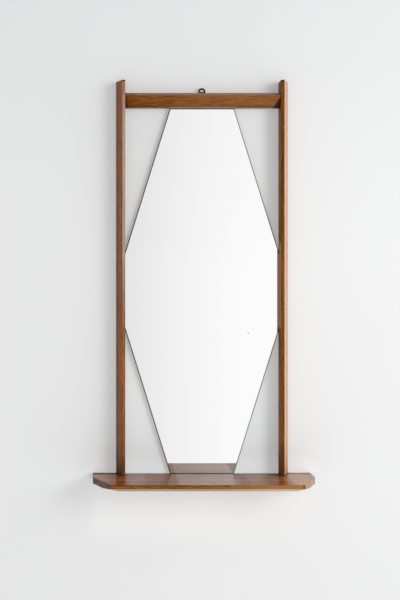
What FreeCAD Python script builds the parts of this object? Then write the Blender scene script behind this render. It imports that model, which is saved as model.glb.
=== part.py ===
import FreeCAD, Part
import os

from FreeCAD import Vector

# Millimetres. X runs across, -Y points towards the viewer, Z is up, and the back plane is Y = 0.
# The origin lies in the back plane, level with the top inside of the hanging ring.

# Opening inside the frame
clear_width = 396.0
clear_height = 938.9

# Uprights: wedge section, a ridge near the inner side and a long slant outside it
upright_width = 22.4
upright_inner_depth = 37.5
upright_ridge_rise = 3.6
upright_ridge_inset = 8.0
upright_land = 9.0
upright_above_rail = 32.0

# Top rail: chamfered above its front arris and undercut below it
rail_height = 35.4
rail_chamfer = 7.5
rail_undercut = 16.0

# Shelf: front corners cut off, front edge bevelled beneath, the bevel runs out along the corners
shelf_width = 561.0
shelf_corner_width = 44.5
shelf_depth = 147.0
shelf_side_depth = 54.0
shelf_thickness = 16.0
shelf_bevel_height = 6.0
shelf_bevel_depth = 6.0
shelf_front_runout = 17.0
shelf_corner_runout = 43.0

# Easing of the sharp wooden edges
wood_ease = 1.0

# Mirror glass, an upright octagon let into rebates, and the board behind it
glass_side = 199.0
glass_flat = 165.0
glass_thickness = 4.0
glass_front_depth = 10.0
glass_tuck = 6.0
glass_arris = 2.5
rebate_clearance = 0.5
board_thickness = 3.0
board_inset = 2.0

# Dowels
dowel_diameter = 6.0
dowel_clearance = 0.05
dowel_end_gap = 0.5
dowel_chamfer = 0.6
rail_dowel_length = 30.0
rail_dowel_in_upright = 11.0
rail_dowel_depth = 14.0
rail_dowel_spacing = 15.0
foot_dowel_length = 30.0
foot_dowel_in_shelf = 10.0
foot_dowel_depth = 12.0
foot_inset = 8.0

# Countersunk screws from under the shelf into the uprights
foot_screw_depth = 27.0
foot_screw_diameter = 4.0
foot_screw_head = 8.0
foot_screw_length = 45.0
foot_screw_sink = 0.3

# Retaining clips behind the glass
clip_on_wood = 10.5
clip_lap = 7.0
clip_width = 14.0
clip_thickness = 1.0
clip_corner = 2.0
clip_clearance = 0.4
side_clip_spacing = 130.0
top_clip_spacing = 110.0

# Pan head screws that hold the clips and the hanger
pan_screw_diameter = 2.5
pan_screw_head = 5.0
pan_screw_head_height = 1.4
pan_screw_length = 10.0
screw_clearance = 0.05
slot_width = 0.8
slot_depth = 0.7

# Hanger: a plate whose tongue curls round the bar of a D-shaped ring
plate_width = 16.0
plate_height = 24.0
plate_thickness = 1.2
plate_corner = 3.0
plate_below_rail_top = 2.0
plate_screw_spacing = 13.0
tongue_width = 8.0
curl_gap = 1.6
curl_above_rail = 0.3
ring_width = 18.6
ring_wire = 4.2
ring_reach = 9.2
ring_corner = 2.6
eye_clearance = 0.05

# Levels and depths that follow from the sizes above
half_clear = clear_width / 2
rail_back = glass_front_depth - glass_thickness - board_thickness
rail_front = upright_inner_depth
wire_radius = ring_wire / 2
eye_radius = wire_radius + eye_clearance
curl_radius = eye_radius + plate_thickness
bar_depth = rail_back - plate_thickness + curl_radius
bar_level = -ring_reach
rail_top = bar_level - curl_radius - curl_above_rail
rail_bottom = rail_top - rail_height
rail_middle = rail_top - rail_height / 2
upright_top = rail_top + upright_above_rail
shelf_top = rail_bottom - clear_height
shelf_bottom = shelf_top - shelf_thickness
glass_middle = (rail_bottom + shelf_top) / 2
foot_x = half_clear + foot_inset

RIGHT = Vector(1, 0, 0)
BACK = Vector(0, 1, 0)
FRONT = Vector(0, -1, 0)
UP = Vector(0, 0, 1)
DOWN = Vector(0, 0, -1)


def block(low, high):
    size = high - low
    return Part.makeBox(size.x, size.y, size.z, low)


def prism(points, run):
    outline = Part.makePolygon(points + points[:1])
    return Part.Face(outline).extrude(run)


def rod(start, direction, radius, length):
    return Part.makeCylinder(radius, length, start, direction)


def ease(solid, radius, wanted):
    return solid.makeFillet(radius, [edge for edge in solid.Edges if wanted(edge)])


def runs_along(edge, direction):
    if len(edge.Vertexes) < 2:
        return False
    way = edge.Vertexes[1].Point - edge.Vertexes[0].Point
    return way.cross(direction).Length < 1e-6 * max(way.Length, 1)


def lies_at(edge, axis, value):
    return all(abs(getattr(vertex, axis) - value) < 1e-6 for vertex in edge.Vertexes)


def mirrored(shape):
    return shape.mirror(Vector(0, 0, 0), RIGHT)


def flipped(point):
    return Vector(-point.x, point.y, point.z)


def place_in_rebate(across, along, depth, turned):
    # across is measured from the frame's inner face, along from the middle of the member
    if turned:
        return Vector(along, -depth, rail_bottom + across)
    return Vector(half_clear + across, -depth, glass_middle + along)


def rail_dowel_levels():
    return [rail_middle - rail_dowel_spacing / 2, rail_middle + rail_dowel_spacing / 2]


def side_clip_places():
    return [-side_clip_spacing / 2, side_clip_spacing / 2]


def top_clip_places():
    return [-top_clip_spacing / 2, top_clip_spacing / 2]


def clip_screw_across():
    return glass_tuck + rebate_clearance + clip_on_wood / 2


def make_upright():
    inner = half_clear
    outer = half_clear + upright_width
    ridge = Vector(inner + upright_ridge_inset, -upright_inner_depth - upright_ridge_rise, shelf_top)
    section = [
        Vector(inner, 0, shelf_top),
        Vector(outer, 0, shelf_top),
        Vector(outer, -upright_land, shelf_top),
        ridge,
        Vector(inner, -upright_inner_depth, shelf_top),
    ]
    post = prism(section, UP * (upright_top - shelf_top))
    post = ease(post, wood_ease, lambda edge: not lies_at(edge, "Y", 0)
                and (runs_along(edge, UP) or lies_at(edge, "Z", upright_top)))

    half_rebate = glass_side / 2 + rebate_clearance
    cuts = [block(place_in_rebate(0, -half_rebate, glass_front_depth, False),
                  place_in_rebate(glass_tuck + rebate_clearance, half_rebate, 0, False))]
    half_recess = clip_width / 2 + clip_clearance
    recess_end = glass_tuck + rebate_clearance + clip_on_wood + clip_clearance
    for along in side_clip_places():
        cuts.append(block(place_in_rebate(0, along - half_recess, rail_back, False),
                          place_in_rebate(recess_end, along + half_recess, 0, False)))
        cuts.append(pan_screw_hole(place_in_rebate(clip_screw_across(), along, rail_back, False)))
    for level in rail_dowel_levels():
        cuts.append(rod(Vector(inner, -rail_dowel_depth, level), RIGHT,
                        dowel_diameter / 2 + dowel_clearance, rail_dowel_in_upright + dowel_end_gap))
    cuts.append(rod(Vector(foot_x, -foot_dowel_depth, shelf_top), UP,
                    dowel_diameter / 2 + dowel_clearance,
                    foot_dowel_length - foot_dowel_in_shelf + dowel_end_gap))
    cuts.append(rod(Vector(foot_x, -foot_screw_depth, shelf_top), UP,
                    foot_screw_diameter / 2 + screw_clearance,
                    foot_screw_length - shelf_thickness + foot_screw_sink + dowel_end_gap))
    return post.cut(cuts)


def make_top_rail():
    start = -half_clear
    section = [
        Vector(start, -rail_back, rail_top),
        Vector(start, -rail_front + rail_chamfer, rail_top),
        Vector(start, -rail_front, rail_top - rail_chamfer),
        Vector(start, -rail_front + rail_undercut, rail_bottom),
        Vector(start, -rail_back, rail_bottom),
    ]
    rail = prism(section, RIGHT * clear_width)
    rail = ease(rail, wood_ease,
                lambda edge: runs_along(edge, RIGHT) and not lies_at(edge, "Y", -rail_back))

    half_rebate = glass_flat / 2 + rebate_clearance
    cuts = [block(place_in_rebate(0, -half_rebate, glass_front_depth, True),
                  place_in_rebate(glass_tuck + rebate_clearance, half_rebate, rail_back, True))]
    for along in top_clip_places():
        cuts.append(pan_screw_hole(place_in_rebate(clip_screw_across(), along, rail_back, True)))
    for level in plate_screw_levels():
        cuts.append(pan_screw_hole(Vector(0, -rail_back, level)))
    in_rail = rail_dowel_length - rail_dowel_in_upright + dowel_end_gap
    for level in rail_dowel_levels():
        mouth = Vector(half_clear, -rail_dowel_depth, level)
        hole = rod(mouth, -RIGHT, dowel_diameter / 2 + dowel_clearance, in_rail)
        cuts += [hole, mirrored(hole)]
    return rail.cut(cuts)


def shelf_corner(level):
    # Ends of the cut at the right front corner
    half = shelf_width / 2
    return [Vector(half, -shelf_side_depth, level), Vector(half - shelf_corner_width, -shelf_depth, level)]


def bevel_cuts():
    # What is planed off below: a strip along the front and a facet that runs out along each cut corner
    side_end, front_end = shelf_corner(shelf_bottom)
    arris = front_end + UP * shelf_bevel_height
    below = front_end + BACK * shelf_bevel_depth
    on_corner = front_end + (side_end - front_end).normalize() * shelf_corner_runout
    strip = prism([arris, below, flipped(below), flipped(arris)], DOWN * shelf_bevel_height)
    facet = prism([on_corner, arris, below - RIGHT * shelf_front_runout], DOWN * shelf_bevel_height)
    return [strip, facet, mirrored(facet)]


def make_shelf():
    right = [Vector(shelf_width / 2, 0, shelf_bottom)] + shelf_corner(shelf_bottom)
    outline = right + [flipped(point) for point in reversed(right)]
    board = prism(outline, UP * shelf_thickness)
    board = ease(board, wood_ease, lambda edge: lies_at(edge, "Z", shelf_top) and not lies_at(edge, "Y", 0))

    cuts = bevel_cuts()
    cuts.append(block(Vector(-half_clear, -glass_front_depth, shelf_top - glass_tuck),
                      Vector(half_clear, 0, shelf_top)))
    for foot in (foot_x, -foot_x):
        cuts.append(rod(Vector(foot, -foot_dowel_depth, shelf_top), DOWN,
                        dowel_diameter / 2 + dowel_clearance, foot_dowel_in_shelf + dowel_end_gap))
        cuts.append(rod(Vector(foot, -foot_screw_depth, shelf_bottom), UP,
                        foot_screw_diameter / 2 + screw_clearance, shelf_thickness))
        cuts.append(countersink(Vector(foot, -foot_screw_depth, shelf_bottom)))
    return board.cut(cuts)


def glass_outline(depth):
    # Octagon whose long slants run on past the visible edges into the rebates
    half_height = clear_height / 2
    slope = (half_clear - glass_flat / 2) / (half_height - glass_side / 2)
    across = half_clear + glass_tuck
    up = half_height + glass_tuck
    flat = glass_flat / 2 - glass_tuck * slope
    side = glass_side / 2 - glass_tuck / slope
    corners = [(flat, up), (across, side), (across, -side), (flat, -up),
               (-flat, -up), (-across, -side), (-across, side), (-flat, up)]
    points = [Vector(x, -depth, glass_middle + z) for x, z in corners]
    return Part.makePolygon(points + points[:1])


def make_glass():
    plate = Part.Face(glass_outline(glass_front_depth)).extrude(BACK * glass_thickness)
    front_edges = [edge for edge in plate.Edges if lies_at(edge, "Y", -glass_front_depth)]
    return plate.makeChamfer(glass_arris, front_edges)


def make_backing_board():
    outline = glass_outline(glass_front_depth - glass_thickness).makeOffset2D(-board_inset)
    return Part.Face(outline).extrude(BACK * board_thickness)


def dowel(start, direction, length):
    peg = rod(start, direction, dowel_diameter / 2, length)
    rims = [edge for edge in peg.Edges if edge.Closed]
    return peg.makeChamfer(dowel_chamfer, rims)


def make_rail_dowels():
    start_x = half_clear + rail_dowel_in_upright
    return [dowel(Vector(start_x, -rail_dowel_depth, level), -RIGHT, rail_dowel_length)
            for level in rail_dowel_levels()]


def make_foot_dowel():
    start = Vector(foot_x, -foot_dowel_depth, shelf_top - foot_dowel_in_shelf)
    return dowel(start, UP, foot_dowel_length)


def countersink(mouth):
    head_radius, shank_radius = foot_screw_head / 2, foot_screw_diameter / 2
    rim = rod(mouth, UP, head_radius + screw_clearance, foot_screw_sink)
    cone = Part.makeCone(head_radius + screw_clearance, shank_radius + screw_clearance,
                         head_radius - shank_radius, mouth + UP * foot_screw_sink, UP)
    return rim.fuse(cone)


def make_foot_screw():
    head_radius, shank_radius = foot_screw_head / 2, foot_screw_diameter / 2
    head_height = head_radius - shank_radius
    seat = Vector(foot_x, -foot_screw_depth, shelf_bottom + foot_screw_sink)
    head = Part.makeCone(head_radius, shank_radius, head_height, seat, UP)
    tip = head_height + shank_radius
    shank = rod(seat + UP * head_height, UP, shank_radius, foot_screw_length - tip)
    point = Part.makeCone(shank_radius, 0, shank_radius, seat + UP * (foot_screw_length - shank_radius), UP)
    slot = block(seat - Vector(head_radius, slot_width / 2, 0),
                 seat + Vector(head_radius, slot_width / 2, slot_depth))
    return head.fuse([shank, point]).removeSplitter().cut(slot)


def pan_screw_hole(mouth):
    return rod(mouth, FRONT, pan_screw_diameter / 2 + screw_clearance, pan_screw_length)


def pan_screw(seat):
    # seat is on the face under the head; the shank runs to the front
    shank_radius = pan_screw_diameter / 2
    head = rod(seat, BACK, pan_screw_head / 2, pan_screw_head_height)
    top = seat.y + pan_screw_head_height
    crown = [edge for edge in head.Edges if edge.Closed and lies_at(edge, "Y", top)]
    head = head.makeFillet(pan_screw_head_height / 2, crown)
    shank = rod(seat, FRONT, shank_radius, pan_screw_length - shank_radius - dowel_end_gap)
    end = seat + FRONT * (pan_screw_length - shank_radius - dowel_end_gap)
    point = Part.makeCone(shank_radius, 0, shank_radius, end, FRONT)
    reach = pan_screw_head / 2
    slot = block(Vector(seat.x - slot_width / 2, top - slot_depth, seat.z - reach),
                 Vector(seat.x + slot_width / 2, top, seat.z + reach))
    return head.fuse([shank, point]).removeSplitter().cut(slot)


def clip(along, turned):
    # A flat plate lapping the board on one side and screwed to the wood on the other
    far = glass_tuck + rebate_clearance + clip_on_wood
    near = glass_tuck - board_inset - clip_lap
    plate = block(place_in_rebate(near, along - clip_width / 2, rail_back, turned),
                  place_in_rebate(far, along + clip_width / 2, rail_back - clip_thickness, turned))
    plate = ease(plate, clip_corner, lambda edge: runs_along(edge, BACK))
    return plate.cut(pan_screw_hole(place_in_rebate(clip_screw_across(), along, rail_back - clip_thickness,
                                                    turned)))


def make_clip_screws():
    depth = rail_back - clip_thickness
    side = [pan_screw(place_in_rebate(clip_screw_across(), along, depth, False))
            for along in side_clip_places()]
    top = [pan_screw(place_in_rebate(clip_screw_across(), along, depth, True))
           for along in top_clip_places()]
    return side + [mirrored(screw) for screw in side] + top


def plate_screw_levels():
    middle = rail_top - plate_below_rail_top - plate_height / 2
    return [middle - plate_screw_spacing / 2, middle + plate_screw_spacing / 2]


def make_hanger_plate():
    back, front = -rail_back + plate_thickness, -rail_back
    top = rail_top - plate_below_rail_top
    body = block(Vector(-plate_width / 2, front, top - plate_height), Vector(plate_width / 2, back, top))
    body = ease(body, plate_corner, lambda edge: runs_along(edge, BACK))
    tongue = block(Vector(-tongue_width / 2, front, top - plate_corner),
                   Vector(tongue_width / 2, back, bar_level))
    axis_start = Vector(-tongue_width / 2, -bar_depth, bar_level)
    curl = rod(axis_start, RIGHT, curl_radius, tongue_width)
    mouth = block(axis_start + Vector(0, 0, -curl_radius),
                  axis_start + Vector(tongue_width, curl_radius - plate_thickness, -curl_radius + curl_gap))
    bore = rod(axis_start, RIGHT, eye_radius, tongue_width)
    plate = body.fuse([tongue, curl]).removeSplitter().cut([bore, mouth])
    return plate.cut([pan_screw_hole(Vector(0, back, level)) for level in plate_screw_levels()])


def make_hanger_screws():
    return [pan_screw(Vector(0, -rail_back + plate_thickness, level)) for level in plate_screw_levels()]


def make_hanger_ring():
    half = (ring_width - ring_wire) / 2
    arch_level = wire_radius - half
    inset = ring_corner * (1 - 0.5 ** 0.5)

    def at(x, z):
        return Vector(x, -bar_depth, z)

    low = bar_level
    path = Part.Wire([
        Part.LineSegment(at(0, low), at(half - ring_corner, low)).toShape(),
        Part.Arc(at(half - ring_corner, low), at(half - inset, low + inset),
                 at(half, low + ring_corner)).toShape(),
        Part.LineSegment(at(half, low + ring_corner), at(half, arch_level)).toShape(),
        Part.Arc(at(half, arch_level), at(0, arch_level + half), at(-half, arch_level)).toShape(),
        Part.LineSegment(at(-half, arch_level), at(-half, low + ring_corner)).toShape(),
        Part.Arc(at(-half, low + ring_corner), at(-half + inset, low + inset),
                 at(-half + ring_corner, low)).toShape(),
        Part.LineSegment(at(-half + ring_corner, low), at(0, low)).toShape(),
    ])
    section = Part.Wire(Part.makeCircle(wire_radius, at(0, low), RIGHT))
    return path.makePipeShell([section], True, False)


def save(name, shapes):
    solids = [solid for shape in shapes for solid in shape.Solids]
    for solid in solids:
        if not solid.isValid() or solid.Volume <= 0:
            raise ValueError(name + " is not a sound solid")
    shape = solids[0] if len(solids) == 1 else Part.makeCompound(solids)
    shape.exportStep(os.path.join("parts", name + ".step"))
    box = shape.BoundBox
    print(f"{name}: {len(solids)} solid(s), {box.XLength:.1f} x {box.YLength:.1f} x {box.ZLength:.1f} mm")


def main():
    os.makedirs("parts", exist_ok=True)
    right_upright = make_upright()
    rail_dowels = make_rail_dowels()
    foot_dowel = make_foot_dowel()
    foot_screw = make_foot_screw()
    side_clips = [clip(along, False) for along in side_clip_places()]

    save("left_upright", [mirrored(right_upright)])
    save("right_upright", [right_upright])
    save("top_rail", [make_top_rail()])
    save("shelf", [make_shelf()])
    save("mirror_glass", [make_glass()])
    save("backing_board", [make_backing_board()])
    save("left_rail_dowels", [mirrored(peg) for peg in rail_dowels])
    save("right_rail_dowels", rail_dowels)
    save("left_foot_dowel", [mirrored(foot_dowel)])
    save("right_foot_dowel", [foot_dowel])
    save("left_foot_screw", [mirrored(foot_screw)])
    save("right_foot_screw", [foot_screw])
    save("left_clips", [mirrored(plate) for plate in side_clips])
    save("right_clips", side_clips)
    save("top_clips", [clip(along, True) for along in top_clip_places()])
    save("clip_screws", make_clip_screws())
    save("hanger_plate", [make_hanger_plate()])
    save("hanger_ring", [make_hanger_ring()])
    save("hanger_screws", make_hanger_screws())


main()
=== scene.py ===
import math
import bpy
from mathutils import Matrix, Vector

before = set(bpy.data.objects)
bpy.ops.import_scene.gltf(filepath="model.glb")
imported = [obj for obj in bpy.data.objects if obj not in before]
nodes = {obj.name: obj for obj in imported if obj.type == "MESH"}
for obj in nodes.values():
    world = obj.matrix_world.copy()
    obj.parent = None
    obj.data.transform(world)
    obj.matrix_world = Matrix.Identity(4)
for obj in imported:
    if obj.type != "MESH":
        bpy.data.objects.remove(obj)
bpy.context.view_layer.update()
scene = bpy.context.scene
scene.view_settings.view_transform = "Standard"
print("frame loaded:", len(nodes), "nodes")


# small helpers for node trees

def feed(tree, socket, value):  # links a socket, sets anything else
    if isinstance(value, bpy.types.NodeSocket):
        tree.links.new(value, socket)
    else:
        socket.default_value = value


def addNode(tree, kind, inputs=None, **settings):
    node = tree.nodes.new(kind)
    for name, value in settings.items():
        setattr(node, name, value)
    for name, value in (inputs or {}).items():
        feed(tree, node.inputs[name], value)
    return node


def calc(tree, operation, *values):
    return addNode(tree, "ShaderNodeMath", dict(enumerate(values)), operation=operation).outputs[0]


def vectorCalc(tree, operation, *values):
    node = addNode(tree, "ShaderNodeVectorMath", dict(enumerate(values)), operation=operation)
    return node.outputs["Value" if operation in ("DOT_PRODUCT", "DISTANCE") else "Vector"]


def stretch(tree, vector, amounts):
    return vectorCalc(tree, "MULTIPLY", vector, amounts)


def split(tree, vector):  # its X, Y and Z
    return addNode(tree, "ShaderNodeSeparateXYZ", {0: vector}).outputs


def turnAround(tree, vector, turn, start=(0, 0, 0)):
    inputs = {"Vector": vector, "Rotation": turn, "Location": start}
    return addNode(tree, "ShaderNodeMapping", inputs).outputs["Vector"]


def noise(tree, vector, scale=1.0, detail=2.0, roughness=0.5):
    inputs = {"Vector": vector, "Scale": scale, "Detail": detail, "Roughness": roughness}
    return addNode(tree, "ShaderNodeTexNoise", inputs).outputs["Fac"]


def between(tree, value, low, high, start=0.0, end=1.0):  # smooth step from low to high
    inputs = {"Value": value, "From Min": low, "From Max": high, "To Min": start, "To Max": end}
    return addNode(tree, "ShaderNodeMapRange", inputs, interpolation_type="SMOOTHSTEP").outputs["Result"]


def both(tree, *masks):  # masks multiplied
    product = masks[0]
    for mask in masks[1:]:
        product = calc(tree, "MULTIPLY", product, mask)
    return product


def either(tree, first, second):  # the stronger mask
    return calc(tree, "MAXIMUM", first, second)


def outside(tree, mask):
    return calc(tree, "SUBTRACT", 1.0, mask)


def within(tree, value, low, high, soft):  # 1 between low and high, with soft ends
    rising = between(tree, value, low - soft, low + soft)
    return both(tree, rising, between(tree, value, high + soft, high - soft))


def mixValues(tree, share, first, second):
    return addNode(tree, "ShaderNodeMix", {0: share, 2: first, 3: second}).outputs[0]


def mixColours(tree, share, first, second, way="MIX"):
    inputs = {0: share, 6: first, 7: second}
    return addNode(tree, "ShaderNodeMix", inputs, data_type="RGBA", blend_type=way).outputs[2]


def grey(level):
    return (level, level, level, 1)


def startGroup(name, inputs, outputs):
    group = bpy.data.node_groups.new(name, "ShaderNodeTree")
    for label, kind, value in inputs:
        socket = group.interface.new_socket(label, in_out="INPUT", socket_type="NodeSocket" + kind)
        if value is not None:
            socket.default_value = value
    for label in outputs:
        group.interface.new_socket(label, in_out="OUTPUT", socket_type="NodeSocketFloat")
    return group, group.nodes.new("NodeGroupInput").outputs, group.nodes.new("NodeGroupOutput").inputs


def useGroup(tree, group, **inputs):
    node = addNode(tree, "ShaderNodeGroup", node_tree=group)
    for name, value in inputs.items():
        feed(tree, node.inputs[name], value)
    return node.outputs


def startMaterial(name):
    material = bpy.data.materials.new(name)
    material.use_nodes = True
    tree = material.node_tree
    place = tree.nodes.new("ShaderNodeTexCoord").outputs
    return material, tree, tree.nodes["Principled BSDF"], place


def addBump(tree, surface, height, strength, distance):
    inputs = {"Height": height, "Strength": strength, "Distance": distance}
    feed(tree, surface.inputs["Normal"], addNode(tree, "ShaderNodeBump", inputs).outputs["Normal"])


def dress(material, *names):
    for name in names:
        slots = nodes[name].material_slots
        for slot in slots:
            slot.material = material
        if not slots:
            nodes[name].data.materials.append(material)


# shared effects

grainLook = {  # stretch of each pattern in X, Y and Z, and where its mask starts and ends
    "tone": (2.4, 48, 48), "drift": (2.2, 14, 14), "driftReach": 0.05, "slope": 0.6,
    "lineEdges": (-0.2, 1.0), "flecks": (34, 380, 380), "fleckEdges": (0.36, 0.64),
    "fibre": (9, 620, 620), "pores": (45, 1500, 1500), "poreEdges": (0.60, 0.70),
}


def makeGrainGroup():  # figure of sawn timber, the grain runs along X
    inputs = [("Vector", "Vector", None), ("Line Pitch", "Float", 0.009)]
    group, given, out = startGroup("timber grain", inputs, ["Tone", "Lines", "Flecks", "Fibre", "Pores"])
    look, vector = grainLook, given["Vector"]
    drift = noise(group, stretch(group, vector, look["drift"]))
    side = split(group, vector)
    across = calc(group, "ADD", side["Y"], calc(group, "MULTIPLY", side["Z"], look["slope"]))
    bent = calc(group, "ADD", across, calc(group, "MULTIPLY", drift, look["driftReach"]))
    turns = calc(group, "DIVIDE", calc(group, "MULTIPLY", bent, math.tau), given["Line Pitch"])
    flecks = noise(group, stretch(group, vector, look["flecks"]), detail=3, roughness=0.65)
    pores = noise(group, stretch(group, vector, look["pores"]), detail=1)
    found = {
        "Tone": noise(group, stretch(group, vector, look["tone"]), detail=3, roughness=0.55),
        "Lines": between(group, calc(group, "SINE", turns), *look["lineEdges"]),
        "Flecks": between(group, flecks, *look["fleckEdges"]),
        "Fibre": noise(group, stretch(group, vector, look["fibre"]), roughness=0.6),
        "Pores": between(group, pores, *look["poreEdges"]),
    }
    for name, value in found.items():
        feed(group, out[name], value)
    return group


wearLook = {"bend": (0.01, 0.16), "patches": (90, 90, 90), "patchEdges": (0.35, 0.65, 0.35, 1.0)}


def makeWearGroup():  # rubbed edges, found by comparing the face normal with a rounded one
    inputs = [("Vector", "Vector", None), ("Width", "Float", 0.0015)]
    group, given, out = startGroup("edge wear", inputs, ["Mask"])
    rounded = addNode(group, "ShaderNodeBevel", {"Radius": given["Width"]}, samples=6).outputs["Normal"]
    flat = group.nodes.new("ShaderNodeNewGeometry").outputs["Normal"]
    bend = outside(group, vectorCalc(group, "DOT_PRODUCT", rounded, flat))
    patches = noise(group, stretch(group, given["Vector"], wearLook["patches"]), detail=3)
    patchy = between(group, patches, *wearLook["patchEdges"])
    feed(group, out["Mask"], both(group, between(group, bend, *wearLook["bend"]), patchy))
    return group


handlingLook = {"grit": 900.0}


def makeHandlingGroup():  # cloudy wear of a polished or rolled surface
    inputs = [("Vector", "Vector", None), ("Size", "Float", 30.0)]
    group, given, out = startGroup("handling", inputs, ["Cloud", "Grit"])
    feed(group, out["Cloud"], noise(group, given["Vector"], given["Size"], detail=4, roughness=0.6))
    feed(group, out["Grit"], noise(group, given["Vector"], handlingLook["grit"], roughness=0.7))
    return group


grimeAndShadeLook = {"crowded": (0.80, 0.45), "backwards": (0.3, 0.6)}


def makeGrimeAndShadeGroup():  # grime and painted shade where pieces meet, not on faces that look backwards
    group, given, out = startGroup("corner grime", [("Reach", "Float", 0.012)], ["Mask"])
    reach = {"Distance": given["Reach"]}
    clear = addNode(group, "ShaderNodeAmbientOcclusion", reach, samples=6).outputs["AO"]
    facing = split(group, group.nodes.new("ShaderNodeNewGeometry").outputs["Normal"])["Y"]
    backwards = between(group, facing, *grimeAndShadeLook["backwards"])
    crowded = between(group, clear, *grimeAndShadeLook["crowded"])
    feed(group, out["Mask"], both(group, crowded, outside(group, backwards)))
    return group


grainGroup = makeGrainGroup()
grimeAndShadeGroup = makeGrimeAndShadeGroup()
wearGroup = makeWearGroup()
handlingGroup = makeHandlingGroup()
print("shared effects ready")


# varnished timber

teakColours = {
    "dark": (0.088, 0.026, 0.003, 1),
    "mid": (0.195, 0.066, 0.006, 1),
    "pale": (0.310, 0.118, 0.014, 1),
    "pore": (0.050, 0.017, 0.003, 1),
    "worn": (0.420, 0.230, 0.105, 1),
    "bleachedAndLit": (0.440, 0.200, 0.060, 1),
    "paintedLit": (0.600, 0.300, 0.130, 1),
    "greyed": (0.300, 0.135, 0.070, 1),
    # dust, and painted sheen where the varnish would show the bright room
    "dustAndSheen": (0.500, 0.340, 0.290, 1),
    "greyDustAndSheen": (0.330, 0.320, 0.300, 1),
    "paintedSheen": (0.430, 0.330, 0.280, 1),  # painted sheen of the lamp on the varnish
    "endGrain": (0.085, 0.030, 0.012, 1),
    # painted light: this pale end grain is used on the right-hand ends, which face the lamp
    "litEndGrain": (0.260, 0.135, 0.080, 1),
    # dirt, and painted shade in corners, gaps and under parts
    "grimeAndShade": (0.016, 0.008, 0.005, 1),
    "underside": (0.370, 0.260, 0.175, 1),  # rubbed pale on the shelf, painted light from the glass on the rail
    "paleUnderside": (0.530, 0.390, 0.310, 1),
    "besideGlass": (0.640, 0.420, 0.280, 1),
    "shade": (0.032, 0.006, 0.001, 1),
}


def paintOver(tree, colour, share, name):
    return mixColours(tree, share, colour, teakColours[name])


# in the marks, a pair is where a soft step starts and ends, and two more numbers are its values there;
# a third number alone is the softness of both ends of a band

uprightMarks = {
    "stripFrom": (0.1, 0.3), "stripTo": (0.9, 0.8),  # inward lean of the inner strip
    "slantOut": (-0.7, -0.85), "slantAhead": (-0.2, -0.35),  # lean of the outer slant
    "flatInside": (0.9, 0.97), "flatSides": (0.95, 0.99, 0.0, 0.38),
    "cap": (0.01465, 0.01565), "paintedLit": (0.01915, -0.25, 0.8, 1.0),  # heights
    "paintedSheenTop": (0.03, -0.09, 0.4, 1.0), "paintedSheenFoot": (-0.64, -0.40), "besideGlass": (-0.612, -0.394, 0.012),
    "foot": (-0.900, -0.984), "polishTop": (0.01915, -0.28), "polishFoot": (-0.97, -0.80),
    "rim": (0.2154, 0.2169), "arris": (0.2149, 0.2172),  # outward from the middle
    "dullFoot": 0.35,
}


def markUpright(tree, at, side, colour, piece):
    marks, height = uprightMarks, at["Z"]
    inward = calc(tree, "MULTIPLY", side["X"], piece["inner"])
    outX = calc(tree, "MULTIPLY", at["X"], -piece["inner"])
    onStrip = both(tree, between(tree, inward, *marks["stripFrom"]),
                   between(tree, inward, *marks["stripTo"]))
    cap = both(tree, onStrip, between(tree, height, *marks["cap"]))
    ahead = between(tree, side["Y"], *marks["slantAhead"])
    slant = both(tree, between(tree, inward, *marks["slantOut"]), ahead)

    # painted light: the right upright's outer slant faces the lamp; less of it at the outer rim
    paintedLight = both(tree, slant, between(tree, height, *marks["paintedLit"]), piece["paintedLight"])
    colour = paintOver(tree, colour, paintedLight, "paintedLit")
    rim = both(tree, slant, between(tree, outX, *marks["rim"]), piece["rim"])
    colour = paintOver(tree, colour, rim, "mid")
    # painted sheen: the lamp's highlight on the left upright's inner strip
    paintedSheen = both(tree, onStrip, between(tree, height, *marks["paintedSheenTop"]),
                between(tree, height, *marks["paintedSheenFoot"]))
    colour = paintOver(tree, colour, both(tree, paintedSheen, piece["paintedSheen"]), "paintedSheen")
    # painted shade along the outer edge of the left upright, the side away from the lamp
    arris = between(tree, outX, *marks["arris"], 0.0, piece["shadedArris"])
    colour = paintOver(tree, colour, arris, "grimeAndShade")
    lit = both(tree, between(tree, inward, *marks["flatInside"]),
               within(tree, height, *marks["besideGlass"]))
    colour = paintOver(tree, colour, both(tree, lit, piece["besideGlass"]), "besideGlass")
    foot = between(tree, height, *marks["foot"])
    darkFoot = mixValues(tree, slant, piece["darkFoot"], piece["slantFoot"])
    colour = paintOver(tree, colour, both(tree, foot, darkFoot), "shade")
    colour = paintOver(tree, colour, cap, "grimeAndShade")

    flat = between(tree, calc(tree, "ABSOLUTE", side["X"]), *marks["flatSides"])  # less polished
    dull = calc(tree, "ADD", flat, both(tree, either(tree, foot, cap), marks["dullFoot"]))
    polish = both(tree, between(tree, height, *marks["polishTop"]),
                  between(tree, height, *marks["polishFoot"]))
    coat = both(tree, onStrip, outside(tree, cap), polish, piece["coat"]) if piece["coat"] else 0.0
    return colour, dull, coat


railMarks = {
    "chamfer": (0.60, 0.85, 0.08), "front": (-0.75, -0.85), "beneath": (-0.85, -0.95),  # lean of the faces
    "fade": (-0.19, 0.06), "chamferEnds": (0.160, 0.186, 0.0, 0.4),  # along the rail
    "leftEnd": (-0.150, -0.185, 0.0, 0.3), "leftTip": (-0.180, -0.197, 0.0, 0.65),
    "low": (-0.0468, -0.0433, 0.001), "lowShade": 0.28,
    "byGlass": (-0.0195, -0.0165, 0.0, 0.10), "pastGlass": (0.080, 0.092), "pastGlassShade": 0.3,
    "edgeHeight": (-0.0465, -0.0473), "edgeDepth": (-0.0170, -0.0190), "edgeLight": 0.6,
    "arris": -0.0204, "frontHeight": 0.0279, "shadeSlope": 0.0178, "rightShade": (0.197, 0.201),
    "rightDark": 0.82, "dullBeneath": 0.5, "dull": 0.4,
}


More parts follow.
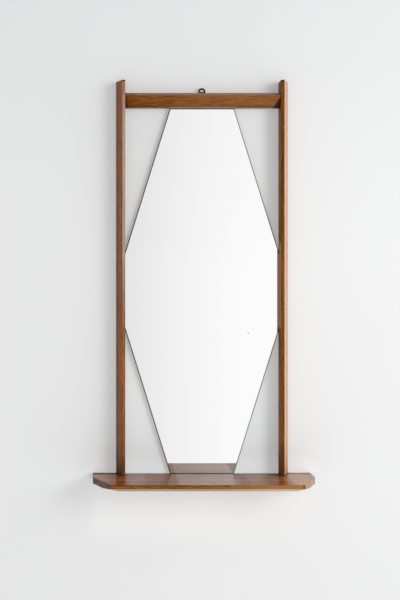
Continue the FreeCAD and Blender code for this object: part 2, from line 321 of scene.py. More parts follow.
def markRail(tree, at, side, colour, piece):
    marks = railMarks
    colour = paintOver(tree, colour, between(tree, at["X"], *marks["fade"], 0.0, piece["fade"]), "greyed")
    onChamfer = within(tree, side["Z"], *marks["chamfer"])
    onFront = between(tree, side["Y"], *marks["front"])
    beneath = between(tree, side["Z"], *marks["beneath"])
    acrossX = calc(tree, "ABSOLUTE", at["X"])
    # dust and painted sheen on the chamfer: the grey of the bright room in its varnish
    colour = paintOver(tree, colour, both(tree, onChamfer, piece["dustAndSheen"]), "greyDustAndSheen")
    chamferEnds = between(tree, acrossX, *marks["chamferEnds"])
    colour = paintOver(tree, colour, both(tree, onChamfer, chamferEnds), "grimeAndShade")

    leftEnd = either(tree, between(tree, at["X"], *marks["leftEnd"]),
                     between(tree, at["X"], *marks["leftTip"]))
    low = both(tree, within(tree, at["Z"], *marks["low"]), marks["lowShade"])
    colour = paintOver(tree, colour, both(tree, onFront, either(tree, leftEnd, low)), "shade")
    # painted shade under the rail: darker past the ends of the glass, which lights the rest, and in the gap
    # by the glass
    pastGlass = between(tree, acrossX, *marks["pastGlass"])
    byGlass = between(tree, at["Y"], *marks["byGlass"])
    dirtAndShade = either(tree, byGlass, both(tree, pastGlass, marks["pastGlassShade"]))
    colour = paintOver(tree, colour, both(tree, beneath, dirtAndShade), "grimeAndShade")
    edge = both(tree, between(tree, at["Z"], *marks["edgeHeight"]),
                between(tree, at["Y"], *marks["edgeDepth"]), outside(tree, pastGlass), marks["edgeLight"])
    colour = paintOver(tree, colour, edge, "underside")  # lit by the glass

    drop = calc(tree, "DIVIDE", calc(tree, "SUBTRACT", marks["arris"], at["Z"]), marks["frontHeight"])
    reach = calc(tree, "MULTIPLY_ADD", drop, marks["shadeSlope"], at["X"])
    shade = between(tree, reach, *marks["rightShade"])  # dark corner by the right upright
    colour = paintOver(tree, colour, both(tree, shade, marks["rightDark"]), "shade")
    dull = either(tree, shade, both(tree, beneath, marks["dullBeneath"]))
    return colour, both(tree, dull, marks["dull"]), 0.0


shelfMarks = {
    "top": (0.7, 0.95), "front": (-0.6, -0.8), "beneath": (-0.3, -0.6),  # lean of the faces
    "beneathAhead": (-0.5, -0.65), "cornerAhead": (-0.2, -0.4),
    "leftCorner": (-0.15, -0.3), "rightCorner": (0.15, 0.3),
    "frontFade": (-0.12, 0.22), "litTopEnd": (0.202, 0.262, 0.012), "dustAndSheen": (-0.3, 0.3),  # along the shelf
    "wobble": (9, 3, 3), "wobbleReach": 0.014, "streakY": -0.0875, "streak": (0.010, 0.002, 0.0, 0.24),
    "rebateEnd": 0.198, "rebate": 0.0105, "innerDirtAndShade": (-0.009, -0.005, 0.0, 0.8),  # towards the back edge
    "outerDirtAndShade": (-0.024, -0.015), "outerShare": (0.15, 0.26, 0.85, 0.40),
    "footFrom": (0.150, 0.190), "footTo": (0.212, 0.204), "footDepth": (-0.068, -0.012, 0.0, 0.85),
    "rubbed": (0.0, 0.22), "lowEdge": (-0.99815, -0.99675, 0.0005), "lowEdgeRub": 0.5,
    "frontEnd": (0.2295, 0.2325), "dent": (0.037, 0.055, 0.004), "dentHeight": (-0.99165, -0.99015),
    "dentDirt": 0.6, "lineHeight": (-0.98915, -0.98815), "lineEnd": (0.095, 0.075), "lineShade": 0.45,
    "bands": (20, 20, 420), "bandEdges": (0.42, 0.62, 0.0, 0.55),  # streaks on the cut corners
    "underArris": (-0.99065, -0.98915, 0.0, 0.45),
    "leftDust": 0.16, "leftEnd": (-0.2400, -0.2365, 0.0, 0.5),
    "rightBands": 0.5, "rightEnd": (0.268, 0.279, 0.0, 0.3),
    "dullWhereDark": 0.3, "polishSoft": 0.006,
    "polished": [(-0.30, -0.238, 0.30), (-0.190, -0.150, 0.25), (-0.069, 0.081, 0.48), (0.108, 0.150, 0.20),
                 (0.215, 0.290, 0.45)],  # from X, to X, coat
}


def markShelf(tree, at, side, colour, piece):
    marks = shelfMarks
    onTop = between(tree, side["Z"], *marks["top"])
    onFront = between(tree, side["Y"], *marks["front"])
    onUnderside = both(tree, between(tree, side["Z"], *marks["beneath"]),
                       between(tree, side["Y"], *marks["beneathAhead"]))
    cornerAhead = between(tree, side["Y"], *marks["cornerAhead"])
    onLeftCorner = both(tree, between(tree, side["X"], *marks["leftCorner"]), cornerAhead)
    onRightCorner = both(tree, between(tree, side["X"], *marks["rightCorner"]), cornerAhead)

    # painted light on the right end of the top, where the lamp reaches past the right upright; the front
    # pales towards the right
    frontFade = between(tree, at["X"], *marks["frontFade"], 0.0, piece["fade"])
    litTopEnd = both(tree, within(tree, at["X"], *marks["litTopEnd"]), piece["endLight"])
    colour = mixColours(tree, onTop, colour, piece["topTint"], "MULTIPLY")
    colour = paintOver(tree, colour, mixValues(tree, onTop, frontFade, litTopEnd), "bleachedAndLit")
    # dust and painted sheen on the top, more towards the right
    dusty = both(tree, onTop, between(tree, at["X"], *marks["dustAndSheen"], piece["dustAndSheen"], piece["dustAndSheen"] * 2))
    wander = noise(tree, stretch(tree, at["Vector"], marks["wobble"]))
    wobble = calc(tree, "MULTIPLY_ADD", wander, marks["wobbleReach"], -marks["wobbleReach"] / 2)
    offStreak = calc(tree, "SUBTRACT", calc(tree, "ADD", at["Y"], wobble), marks["streakY"])
    streak = both(tree, onTop, between(tree, calc(tree, "ABSOLUTE", offStreak), *marks["streak"]))
    colour = paintOver(tree, colour, calc(tree, "ADD", dusty, streak), "dustAndSheen")

    # grime and painted shade along the back edge: the gap to the wall and the line behind the glass
    inside = calc(tree, "LESS_THAN", calc(tree, "ABSOLUTE", at["X"]), marks["rebateEnd"])
    toEdge = calc(tree, "MULTIPLY_ADD", inside, marks["rebate"], at["Y"])
    outer = both(tree, between(tree, toEdge, *marks["outerDirtAndShade"]),
                 between(tree, at["X"], *marks["outerShare"]))
    dirtAndShade = mixValues(tree, inside, outer, between(tree, toEdge, *marks["innerDirtAndShade"]))
    # painted shadow of the right upright on the shelf top beside its foot
    byFoot = both(tree, between(tree, at["X"], *marks["footFrom"]),
                  between(tree, at["X"], *marks["footTo"]),
                  between(tree, at["Y"], *marks["footDepth"]), onTop)
    dirtAndShade = either(tree, dirtAndShade, byFoot)
    colour = paintOver(tree, colour, dirtAndShade, "grimeAndShade")

    rubbed = mixColours(tree, between(tree, at["X"], *marks["rubbed"]),
                        teakColours["underside"], teakColours["paleUnderside"])
    colour = mixColours(tree, both(tree, onUnderside, piece["beneath"]), colour, rubbed)
    frontEnd = both(tree, onFront, between(tree, at["X"], *marks["frontEnd"]))
    dent = both(tree, onFront, within(tree, at["X"], *marks["dent"]),
                between(tree, at["Z"], *marks["dentHeight"]))
    colour = paintOver(tree, colour, both(tree, either(tree, frontEnd, dent), marks["dentDirt"]), "grimeAndShade")
    line = both(tree, onFront, between(tree, at["Z"], *marks["lineHeight"]),
                between(tree, at["X"], *marks["lineEnd"]), marks["lineShade"])
    colour = paintOver(tree, colour, line, "shade")
    lowEdge = both(tree, within(tree, at["Z"], *marks["lowEdge"]), either(tree, onFront, onUnderside),
                   marks["lowEdgeRub"])
    colour = paintOver(tree, colour, lowEdge, "paleUnderside")

    bands = between(tree, noise(tree, stretch(tree, at["Vector"], marks["bands"])), *marks["bandEdges"])
    underArris = between(tree, at["Z"], *marks["underArris"])
    leftStreaks = either(tree, either(tree, bands, underArris), between(tree, at["X"], *marks["leftEnd"]))
    colour = paintOver(tree, colour, both(tree, onLeftCorner, marks["leftDust"]), "dustAndSheen")
    colour = paintOver(tree, colour, both(tree, onLeftCorner, leftStreaks), "grimeAndShade")
    rightEnd = between(tree, at["X"], *marks["rightEnd"])
    rightStreaks = either(tree, rightEnd, both(tree, bands, marks["rightBands"]))
    # painted light: the right cut corner faces the lamp and is tinted paler, like the lit top
    colour = mixColours(tree, onRightCorner, colour, piece["cornerTint"], "MULTIPLY")
    colour = paintOver(tree, colour, both(tree, onRightCorner, rightStreaks), "grimeAndShade")

    polish = 0.0
    for start, end, weight in marks["polished"]:
        zone = within(tree, at["X"], start, end, marks["polishSoft"])
        polish = calc(tree, "ADD", polish, both(tree, zone, weight))
    return colour, both(tree, dirtAndShade, marks["dullWhereDark"]), both(tree, onTop, outside(tree, dirtAndShade), polish)


upDown = (0, math.radians(90), 0)  # turns the grain from X to Z
sideways = (0, 0, 0)

timberPieces = {
    "left_upright": {
        "marks": markUpright, "turn": upDown, "start": (0.31, 0.05, 0.02), "pitch": 0.008, "lines": 0.40,
        "tint": (1.17, 0.98, 0.90, 1), "specular": 0.19, "wear": 0.25, "corners": 0.006, "inner": 1,
        "paintedLight": 0.0, "rim": 0.0, "besideGlass": 0.0, "shadedArris": 0.60, "darkFoot": 0.28, "slantFoot": 0.32,
        "paintedSheen": 0.46, "coat": 0.15},
    "right_upright": {
        "marks": markUpright, "turn": upDown, "start": (1.70, 0.21, 0.11), "pitch": 0.008, "lines": 0.40,
        "tint": (1.05, 0.95, 0.90, 1), "specular": 0.24, "wear": 0.8, "corners": 0.006, "inner": -1,
        "paintedLight": 0.64, "rim": 0.5, "besideGlass": 0.6, "shadedArris": 0.0, "darkFoot": 0.30, "slantFoot": 0.02,
        "paintedSheen": 0.0, "coat": 0.0},
    "top_rail": {
        "marks": markRail, "turn": sideways, "start": (3.10, 0.40, 0.31), "pitch": 0.010, "lines": 0.40,
        "tint": (0.88, 0.84, 0.80, 1), "specular": 0.14, "wear": 0.45, "corners": 0.012,
        "fade": 0.24, "dustAndSheen": 0.30},
    "shelf": {
        "marks": markShelf, "turn": sideways, "start": (5.30, 0.66, 0.52), "pitch": 0.030, "lines": 0.60,
        "tint": (0.92, 1.0, 0.80, 1), "topTint": (1.33, 0.96, 1.0, 1), "cornerTint": (0.97, 1.08, 1.50, 1),
        "specular": 0.08, "wear": 0.25, "corners": 0.012,
        "fade": 0.55, "endLight": 0.75, "dustAndSheen": 0.03, "beneath": 0.85},
}

figureLook = {
    "tone": (0.26, 0.60), "darkFlecks": (0.35, 1.0, 0.0, 0.85), "paleFlecks": (0.50, 0.0, 0.0, 0.40),
    "fibre": (0.35, 0.75, 0.0, 0.30), "pores": 0.55,
    "litToRight": (-0.1, 0.2), "sawnEnds": (0.75, 0.95, 0.0, 0.85),
}

varnish = {
    "roughness": 0.20, "roughnessSwing": 0.08, "clouds": (0.3, 0.7), "cloudSize": 14.0,
    "wearWidth": 0.0016, "grimeAndShade": 0.85, "dullPores": 0.12, "dullInCorners": 0.3,
    "bump": 0.10, "depth": 0.0002, "poreDepth": 0.8,
}


def makeFigure(tree, grain, piece):  # colours of the sawn timber
    look = figureLook
    tone = between(tree, grain["Tone"], *look["tone"])
    colour = mixColours(tree, tone, teakColours["dark"], teakColours["mid"])
    colour = paintOver(tree, colour, both(tree, grain["Lines"], piece["lines"]), "pale")
    colour = paintOver(tree, colour, between(tree, grain["Flecks"], *look["darkFlecks"]), "dark")
    colour = paintOver(tree, colour, between(tree, grain["Flecks"], *look["paleFlecks"]), "pale")
    colour = paintOver(tree, colour, between(tree, grain["Fibre"], *look["fibre"]), "pale")
    colour = paintOver(tree, colour, both(tree, grain["Pores"], look["pores"]), "pore")
    return mixColours(tree, 1.0, colour, piece["tint"], "MULTIPLY")


def addEndGrain(tree, colour, at, place, piece):
    inputs = {"Vector": place["Normal"], "Rotation": piece["turn"]}
    facing = addNode(tree, "ShaderNodeMapping", inputs, vector_type="NORMAL").outputs["Vector"]
    along = calc(tree, "ABSOLUTE", split(tree, facing)["X"])
    # painted light: end grain paler towards the right, where the lamp falls
    sawn = mixColours(tree, between(tree, at["X"], *figureLook["litToRight"]),
                      teakColours["endGrain"], teakColours["litEndGrain"])
    return mixColours(tree, between(tree, along, *figureLook["sawnEnds"]), colour, sawn)


def makeTeak(name, piece):
    material, tree, surface, place = startMaterial("teak " + name.replace("_", " "))
    turned = turnAround(tree, place["Object"], piece["turn"], piece["start"])
    grain = useGroup(tree, grainGroup, **{"Vector": turned, "Line Pitch": piece["pitch"]})
    wear = useGroup(tree, wearGroup, Vector=place["Object"], Width=varnish["wearWidth"])["Mask"]
    cloud = useGroup(tree, handlingGroup, Vector=turned, Size=varnish["cloudSize"])["Cloud"]
    grimeAndShade = useGroup(tree, grimeAndShadeGroup, Reach=piece["corners"])["Mask"]
    here = split(tree, place["Object"])
    at = {"X": here["X"], "Y": here["Y"], "Z": here["Z"], "Vector": place["Object"]}

    colour = addEndGrain(tree, makeFigure(tree, grain, piece), at, place, piece)
    colour = paintOver(tree, colour, both(tree, wear, piece["wear"]), "worn")
    colour, dull, coat = piece["marks"](tree, at, split(tree, place["Normal"]), colour, piece)
    # grime and painted shade in the corners, from the occlusion mask
    colour = paintOver(tree, colour, both(tree, grimeAndShade, varnish["grimeAndShade"]), "grimeAndShade")
    feed(tree, surface.inputs["Base Color"], colour)

    low = varnish["roughness"] - varnish["roughnessSwing"] / 2
    rough = between(tree, cloud, *varnish["clouds"], low, low + varnish["roughnessSwing"])
    rough = calc(tree, "ADD", rough, both(tree, grain["Pores"], varnish["dullPores"]))
    rough = calc(tree, "ADD", rough, both(tree, grimeAndShade, varnish["dullInCorners"]))
    feed(tree, surface.inputs["Roughness"], calc(tree, "ADD", rough, dull))
    feed(tree, surface.inputs["Coat Weight"], coat)
    surface.inputs["Coat Roughness"].default_value = varnish["roughness"]
    surface.inputs["Specular IOR Level"].default_value = piece["specular"]
    relief = calc(tree, "SUBTRACT", grain["Fibre"], both(tree, grain["Pores"], varnish["poreDepth"]))
    addBump(tree, surface, relief, varnish["bump"], varnish["depth"])
    return material


for name, piece in timberPieces.items():
    dress(makeTeak(name, piece), name)
print("timber finished:", len(timberPieces), "pieces")


# silvered glass

mirrorLook = {
    "silver": (0.964, 0.964, 0.974, 1), "polish": 0.012,
    "ground": (0.045, 0.05, 0.05, 1), "paleGround": 0.14, "groundRoughness": 0.38,
    "backPaint": (0.20, 0.15, 0.12, 1), "paleBackPaint": 0.12,
    "front": (-0.97, -0.99), "back": (0.97, 0.99), "frontY": -0.010, "cloudSize": 60.0,
    "lowDarkening": (0.20, 0.18, 0.18, 1),  # darker low on the glass, more to the left
    "lowDarkeningTop": (-0.9600, -0.9640), "lowDarkeningAcross": (-0.09, 0.07, 0.24, 0.08),
    "railReflection": (0.300, 0.215, 0.165, 1),  # painted reflection of the rail's dark underside in the glass
    "railReflectionHeight": (-0.0518, -0.0497, 0.0004),
    "speck": (0.30, 0.30, 0.29, 1), "speckRim": 1.4, "speckCore": 0.6,
}

mirrorSpecks = [  # X, Z, radius, strength of the small spots in the silver
    (0.1200, -0.6263, 0.0017, 0.75), (0.1157, -0.6209, 0.0013, 0.50), (0.1845, -0.5760, 0.0013, 0.55),
    (0.1334, -0.3652, 0.0014, 0.35), (0.1200, -0.3652, 0.0010, 0.35), (-0.0018, -0.3914, 0.0012, 0.35),
    (-0.1642, -0.6178, 0.0014, 0.40), (0.0535, -0.4559, 0.0013, 0.20), (-0.0794, -0.6351, 0.0013, 0.20),
    (0.1298, -0.6153, 0.0013, 0.30),
]


def makeSilver(tree, place):  # the silver with its spots, a darker low band and a painted reflection of the rail
    look, silver, at = mirrorLook, mirrorLook["silver"], split(tree, place["Object"])
    for x, z, radius, strength in mirrorSpecks:
        away = vectorCalc(tree, "DISTANCE", place["Object"], (x, look["frontY"], z))
        spot = between(tree, away, radius * look["speckRim"], radius * look["speckCore"], 0.0, strength)
        silver = mixColours(tree, spot, silver, look["speck"])
    lowDarkening = both(tree, between(tree, at["Z"], *look["lowDarkeningTop"]), between(tree, at["X"], *look["lowDarkeningAcross"]))
    silver = mixColours(tree, lowDarkening, silver, look["lowDarkening"])
    return mixColours(tree, within(tree, at["Z"], *look["railReflectionHeight"]), silver, look["railReflection"])


def makeMirror():
    material, tree, surface, place = startMaterial("silvered glass")
    look, facing = mirrorLook, split(tree, place["Normal"])["Y"]
    front = between(tree, facing, *look["front"])
    handling = useGroup(tree, handlingGroup, Vector=place["Object"], Size=look["cloudSize"])
    ground = mixColours(tree, handling["Grit"], look["ground"], grey(look["paleGround"]))
    paint = mixColours(tree, handling["Cloud"], look["backPaint"], grey(look["paleBackPaint"]))
    edge = mixColours(tree, between(tree, facing, *look["back"]), ground, paint)
    feed(tree, surface.inputs["Base Color"], mixColours(tree, front, edge, makeSilver(tree, place)))
    feed(tree, surface.inputs["Metallic"], front)
    rough = between(tree, front, 0, 1, look["groundRoughness"], look["polish"])
    feed(tree, surface.inputs["Roughness"], rough)
    return material


dress(makeMirror(), "mirror_glass")
print("mirror finished")


# plywood behind the glass, pegs in the joints

boardLook = {
    "face": (0.42, 0.27, 0.13, 1), "dark": (0.24, 0.13, 0.055, 1), "glueLine": (0.10, 0.05, 0.025, 1),
    "start": (0.9, 0.3, 0.2), "pitch": 0.03, "tone": (0.3, 0.7), "pores": 0.4,
    "cloudSize": 9.0, "clouds": (0.55, 0.8, 0.0, 0.35), "wear": 0.4, "wearWidth": 0.001,
    "ply": 0.001, "glueEdges": (0.35, 0.1),
    "fibre": (0.3, 0.7), "roughness": 0.72, "roughnessSwing": 0.15, "bump": 0.5, "depth": 0.0004,
}


def makeBoard():
    material, tree, surface, place = startMaterial("raw plywood")
    look = boardLook
    turned = turnAround(tree, place["Object"], upDown, look["start"])
    grain = useGroup(tree, grainGroup, **{"Vector": turned, "Line Pitch": look["pitch"]})
    cloud = useGroup(tree, handlingGroup, Vector=place["Object"], Size=look["cloudSize"])["Cloud"]
    wear = useGroup(tree, wearGroup, Vector=place["Object"], Width=look["wearWidth"])["Mask"]
    colour = mixColours(tree, between(tree, grain["Tone"], *look["tone"]), look["dark"], look["face"])
    colour = mixColours(tree, both(tree, grain["Pores"], look["pores"]), colour, look["dark"])
    colour = mixColours(tree, between(tree, cloud, *look["clouds"]), colour, look["dark"])
    turns = calc(tree, "MULTIPLY", split(tree, place["Object"])["Y"], math.pi / look["ply"])
    ply = calc(tree, "ABSOLUTE", calc(tree, "SINE", turns))
    edge = outside(tree, calc(tree, "ABSOLUTE", split(tree, place["Normal"])["Y"]))
    glue = both(tree, edge, between(tree, ply, *look["glueEdges"]))
    colour = mixColours(tree, glue, colour, look["glueLine"])
    colour = mixColours(tree, both(tree, wear, look["wear"]), colour, look["face"])
    feed(tree, surface.inputs["Base Color"], colour)
    low = look["roughness"]
    rough = between(tree, grain["Fibre"], *look["fibre"], low, low + look["roughnessSwing"])
    feed(tree, surface.inputs["Roughness"], rough)
    relief = calc(tree, "SUBTRACT", grain["Fibre"], grain["Pores"])
    addBump(tree, surface, relief, look["bump"], look["depth"])
    return material


pegLook = {
    "face": (0.52, 0.34, 0.17, 1), "dark": (0.36, 0.21, 0.09, 1), "pitch": 0.004,
    "fibre": (0.3, 0.7), "roughness": 0.65, "roughnessSwing": 0.1, "bump": 0.3, "depth": 0.0002,
}


def makePegs(turn):
    material, tree, surface, place = startMaterial("beech peg")
    look = pegLook
    turned = turnAround(tree, place["Object"], turn)
    grain = useGroup(tree, grainGroup, **{"Vector": turned, "Line Pitch": look["pitch"]})
    feed(tree, surface.inputs["Base Color"], mixColours(tree, grain["Tone"], look["dark"], look["face"]))
    low = look["roughness"]
    rough = between(tree, grain["Fibre"], *look["fibre"], low, low + look["roughnessSwing"])
    feed(tree, surface.inputs["Roughness"], rough)
    addBump(tree, surface, grain["Fibre"], look["bump"], look["depth"])
    return material


dress(makeBoard(), "backing_board")
dress(makePegs(sideways), "left_rail_dowels", "right_rail_dowels")
dress(makePegs(upDown), "left_foot_dowel", "right_foot_dowel")
print("board and pegs finished")


# steel fittings

steelPieces = {
    "dark hanger steel": {
        "nodes": ("hanger_plate", "hanger_ring"),
        "metal": (0.005, 0.0045, 0.0045, 1), "stain": (0.010, 0.006, 0.004, 1),
        "bright": (0.03, 0.027, 0.025, 1), "edgeTint": 0.08, "roughness": 0.34},
    "rolled clip steel": {
        "nodes": ("left_clips", "right_clips", "top_clips"),
        "metal": (0.30, 0.29, 0.27, 1), "stain": (0.16, 0.09, 0.045, 1), "bright": (0.55, 0.54, 0.52, 1),
        "edgeTint": 1.0, "roughness": 0.42},
    "plated screw steel": {
        "nodes": ("left_foot_screw", "right_foot_screw", "clip_screws", "hanger_screws"),
        "metal": (0.36, 0.34, 0.30, 1), "stain": (0.14, 0.09, 0.05, 1), "bright": (0.60, 0.58, 0.54, 1),
        "edgeTint": 1.0, "roughness": 0.34},
}

steelWear = {
    "cloudSize": 160.0, "stains": (0.52, 0.68, 0.0, 0.75), "stainedMetal": (0.0, 0.75, 1.0, 0.6),
    "wear": 0.6, "wearWidth": 0.0004, "clouds": (0.35, 0.7), "smoother": 0.06, "rougher": 0.2,
    "bump": 0.15, "depth": 0.0001,
}


def makeSteel(name, piece):
    material, tree, surface, place = startMaterial(name)
    look = steelWear
    handling = useGroup(tree, handlingGroup, Vector=place["Object"], Size=look["cloudSize"])
    wear = useGroup(tree, wearGroup, Vector=place["Object"], Width=look["wearWidth"])["Mask"]
    stained = between(tree, handling["Cloud"], *look["stains"])
    colour = mixColours(tree, stained, piece["metal"], piece["stain"])
    colour = mixColours(tree, both(tree, wear, look["wear"]), colour, piece["bright"])
    feed(tree, surface.inputs["Base Color"], colour)
    feed(tree, surface.inputs["Metallic"], between(tree, stained, *look["stainedMetal"]))
    surface.inputs["Specular Tint"].default_value = grey(piece["edgeTint"])
    ends = piece["roughness"] - look["smoother"], piece["roughness"] + look["rougher"]
    rough = between(tree, handling["Cloud"], *look["clouds"], *ends)
    feed(tree, surface.inputs["Roughness"], rough)
    addBump(tree, surface, handling["Grit"], look["bump"], look["depth"])
    return material


for name, piece in steelPieces.items():
    dress(makeSteel(name, piece), *piece["nodes"])
print("fittings finished")


# stage: a pale backdrop that shows only from the front, and a pale floor

stageLook = {
    "backdrop": (0.777, 0.780, 0.782, 1), "upperBackdrop": (0.712, 0.717, 0.722, 1),
    "floor": (0.86, 0.86, 0.85, 1), "floorLevel": -1.9, "reach": 7.0, "gap": 0.001,
    "toneChange": (-0.5, 0.3), "mottleSize": 1.5, "mottleEdges": (0.2, 0.8), "mottle": 0.02,
    "roughness": 0.95,
    "ownLight": 0.34,  # lifts the shadows on the backdrop
    "clearRays": 0.012,  # shorter rays pass, so that light reaches the back of the object
}

backdropMarks = {
    "lifted": 0.97,  # painted light: paler close above and below the shelf, against its shadow
    "shelfTop": -0.98715, "besideShelf": (0.315, 0.255),
    "aboveShelf": (-0.92715, -0.98715, 0.0, 0.75), "belowShelf": (-0.98715, -1.03715),
    "belowEnd": (-1.20715, -1.06715), "belowAcross": (0.16, 0.0, 0.05, 0.35),
    "insideFrame": (0.21, 0.19), "framedFoot": (-0.55, -0.35), "framedTop": (-0.025, -0.035),
    "framedShade": (-0.10, 0.15, 0.08, 0.04),  # darker behind the glass
    "coolTint": (1.015, 1.045, 1.055, 1),  # against the warm light from the timber
    "coolHeight": (-0.60, -0.85), "coolEnd": -0.99215,
}


def makeSheet(name, corners, colour, upperColour):
    mesh = bpy.data.meshes.new(name)
    mesh.from_pydata(corners, [], [(0, 1, 2, 3)])
    sheet = bpy.data.objects.new(name, mesh)
    scene.collection.objects.link(sheet)
    material, tree, surface, place = startMaterial(name)
    at = split(tree, place["Object"])
    mottle = noise(tree, place["Object"], stageLook["mottleSize"], detail=3)
    mottled = both(tree, between(tree, mottle, *stageLook["mottleEdges"]), stageLook["mottle"])
    paint = mixColours(tree, between(tree, at["Z"], *stageLook["toneChange"]), colour, upperColour)
    paint = mixColours(tree, mottled, paint, grey(0.0))
    feed(tree, surface.inputs["Base Color"], paint)
    surface.inputs["Roughness"].default_value = stageLook["roughness"]
    surface.inputs["Specular IOR Level"].default_value = 0.0
    mesh.materials.append(material)
    return tree, surface, paint, at


def showWhere(tree, surface, share):  # the rest is clear
    clear = tree.nodes.new("ShaderNodeBsdfTransparent").outputs["BSDF"]
    shown = addNode(tree, "ShaderNodeMixShader", {0: share, 1: clear, 2: surface})
    feed(tree, tree.nodes["Material Output"].inputs["Surface"], shown.outputs[0])


def markBackdrop(tree, at, paint):
    marks, acrossX = backdropMarks, calc(tree, "ABSOLUTE", at["X"])
    above = between(tree, at["Z"], *marks["aboveShelf"])
    below = both(tree, between(tree, at["Z"], *marks["belowShelf"]),
                 between(tree, at["Z"], *marks["belowEnd"]),
                 between(tree, at["X"], *marks["belowAcross"]))
    byShelf = mixValues(tree, calc(tree, "LESS_THAN", at["Z"], marks["shelfTop"]), above, below)
    lift = both(tree, between(tree, acrossX, *marks["besideShelf"]), byShelf)
    paint = mixColours(tree, lift, paint, grey(marks["lifted"]))
    insideFrame = between(tree, acrossX, *marks["insideFrame"])
    framed = both(tree, insideFrame, between(tree, at["Z"], *marks["framedFoot"]),
                  between(tree, at["Z"], *marks["framedTop"]),
                  between(tree, at["X"], *marks["framedShade"]))
    paint = mixColours(tree, framed, paint, grey(0.0))
    cool = both(tree, insideFrame, between(tree, at["Z"], *marks["coolHeight"]),
                calc(tree, "GREATER_THAN", at["Z"], marks["coolEnd"]))
    return mixColours(tree, cool, paint, marks["coolTint"], "MULTIPLY")


def makeBackdrop():
    reach, low, back = stageLook["reach"], stageLook["floorLevel"], stageLook["gap"]
    corners = [(-reach, back, low), (reach, back, low), (reach, back, reach), (-reach, back, reach)]
    colours = stageLook["backdrop"], stageLook["upperBackdrop"]
    tree, surface, paint, at = makeSheet("backdrop", corners, *colours)
    paint = markBackdrop(tree, at, paint)
    feed(tree, surface.inputs["Base Color"], paint)
    glow = addNode(tree, "ShaderNodeEmission", {"Color": paint}).outputs["Emission"]
    inputs = {0: stageLook["ownLight"], 1: surface.outputs["BSDF"], 2: glow}
    lifted = addNode(tree, "ShaderNodeMixShader", inputs).outputs[0]
    ray = tree.nodes.new("ShaderNodeLightPath").outputs
    behind = tree.nodes.new("ShaderNodeNewGeometry").outputs["Backfacing"]
    far = calc(tree, "GREATER_THAN", ray["Ray Length"], stageLook["clearRays"])
    seen = both(tree, either(tree, ray["Is Camera Ray"], far), outside(tree, behind))
    showWhere(tree, lifted, both(tree, seen, outside(tree, ray["Is Shadow Ray"])))


def makeFloor():
    reach, low = stageLook["reach"], stageLook["floorLevel"]
    corners = [(-reach, -reach, low), (reach, -reach, low), (reach, reach, low), (-reach, reach, low)]
    tree, surface = makeSheet("floor", corners, stageLook["floor"], stageLook["floor"])[:2]
    ray = tree.nodes.new("ShaderNodeLightPath").outputs
    beneath = tree.nodes.new("ShaderNodeNewGeometry").outputs["Backfacing"]
    shown = both(tree, ray["Is Camera Ray"], outside(tree, beneath))  # clear from below
    showWhere(tree, surface.outputs["BSDF"], shown)


makeBackdrop()
makeFloor()
print("stage set")


# light: a soft lamp from the right, pale surroundings that are brighter to the right

keyLamp = {"place": (2.05, -2.05, 0.04), "aim": (0, 0, -0.45), "width": 1.0, "height": 1.05, "watts": 36}
surroundings = {
    "turnBack": (-0.1, 0.1), "behind": 0.80,
    "ahead": 0.80, "rightSwing": 0.35, "upSwing": -0.62, "least": 0.22,  # as light on the object
    "farRight": (0.6, 1.0, 0.0, 1.7),
    "seen": (-0.12, 0.17, 0.60, 1.0), "upperFade": 0.25,  # as seen in the mirror
    "seenLeft": (-0.8, -0.2, 0.35, 1.0), "seenBelow": (-0.7, -0.25, 0.18, 1.0),
}


def addKeyLamp():
    data = bpy.data.lights.new("key lamp", "AREA")
    data.shape = "RECTANGLE"
    data.size, data.size_y = keyLamp["width"], keyLamp["height"]
    data.energy = keyLamp["watts"]
    lamp = bpy.data.objects.new("key lamp", data)
    lamp.location = keyLamp["place"]
    lamp.visible_glossy = False  # no glare on the varnish
    aim = Vector(keyLamp["aim"]) - lamp.location
    lamp.rotation_euler = aim.to_track_quat("-Z", "Y").to_euler()
    scene.collection.objects.link(lamp)


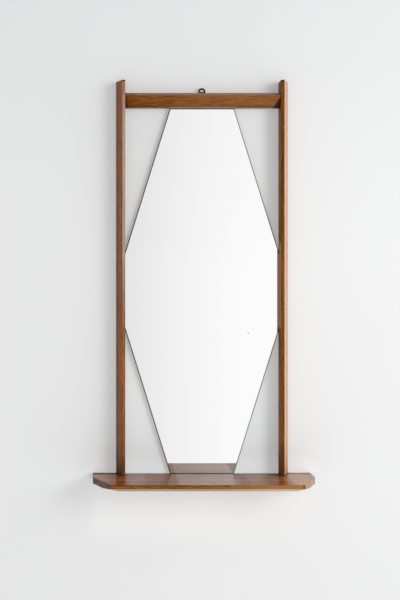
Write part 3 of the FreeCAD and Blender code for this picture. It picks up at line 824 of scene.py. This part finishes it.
def makeSurroundings():
    world = bpy.data.worlds.new("surroundings")
    world.use_nodes = True
    scene.world = world
    tree, look = world.node_tree, surroundings
    way = split(tree, tree.nodes.new("ShaderNodeTexCoord").outputs["Generated"])
    isBehind = between(tree, way["Y"], *look["turnBack"])

    ahead = calc(tree, "MULTIPLY_ADD", way["X"], look["rightSwing"], look["ahead"])
    ahead = calc(tree, "MULTIPLY_ADD", way["Z"], look["upSwing"], ahead)
    ahead = calc(tree, "ADD", ahead, between(tree, way["X"], *look["farRight"]))
    lit = mixValues(tree, isBehind, calc(tree, "MAXIMUM", ahead, look["least"]), look["behind"])

    fade = calc(tree, "MULTIPLY_ADD", calc(tree, "MAXIMUM", way["Z"], 0.0), -look["upperFade"], 1.0)
    seen = both(tree, between(tree, way["X"], *look["seen"]), fade,
                between(tree, way["X"], *look["seenLeft"]), between(tree, way["Z"], *look["seenBelow"]))
    seen = mixValues(tree, isBehind, seen, look["behind"])

    ray = tree.nodes.new("ShaderNodeLightPath").outputs
    shown = either(tree, seen, ray["Is Camera Ray"])  # the camera sees white
    mirrored = either(tree, ray["Is Glossy Ray"], ray["Is Transmission Ray"])
    direct = either(tree, ray["Is Camera Ray"], mirrored)
    background = tree.nodes["Background"]
    background.inputs["Color"].default_value = grey(1)
    feed(tree, background.inputs["Strength"], mixValues(tree, direct, lit, shown))


addKeyLamp()
makeSurroundings()
print("light set")


# camera: image plane upright and square to the back plane, moved sideways within the picture

picture = {"width": 400, "height": 600, "axisX": 96.0, "axisY": 272.0, "middleX": 201.6, "railTopY": 95.1}
viewPoint = {"distance": 2.5, "focalPixels": 969.0, "sensor": 36.0, "railTop": -0.01285}


def addCamera():
    scale = viewPoint["distance"] / viewPoint["focalPixels"]  # metres per pixel in the back plane
    longSide = max(picture["width"], picture["height"])
    data = bpy.data.cameras.new("camera")
    data.sensor_width = viewPoint["sensor"]
    data.lens = viewPoint["focalPixels"] * viewPoint["sensor"] / longSide
    data.shift_x = (picture["width"] / 2 - picture["axisX"]) / longSide
    data.shift_y = (picture["axisY"] - picture["height"] / 2) / longSide
    camera = bpy.data.objects.new("camera", data)
    camera.location = (-(picture["middleX"] - picture["axisX"]) * scale, -viewPoint["distance"],
                       viewPoint["railTop"] - (picture["axisY"] - picture["railTopY"]) * scale)
    camera.rotation_euler = (math.radians(90), 0, 0)
    scene.collection.objects.link(camera)
    scene.camera = camera


addCamera()
print("camera set")
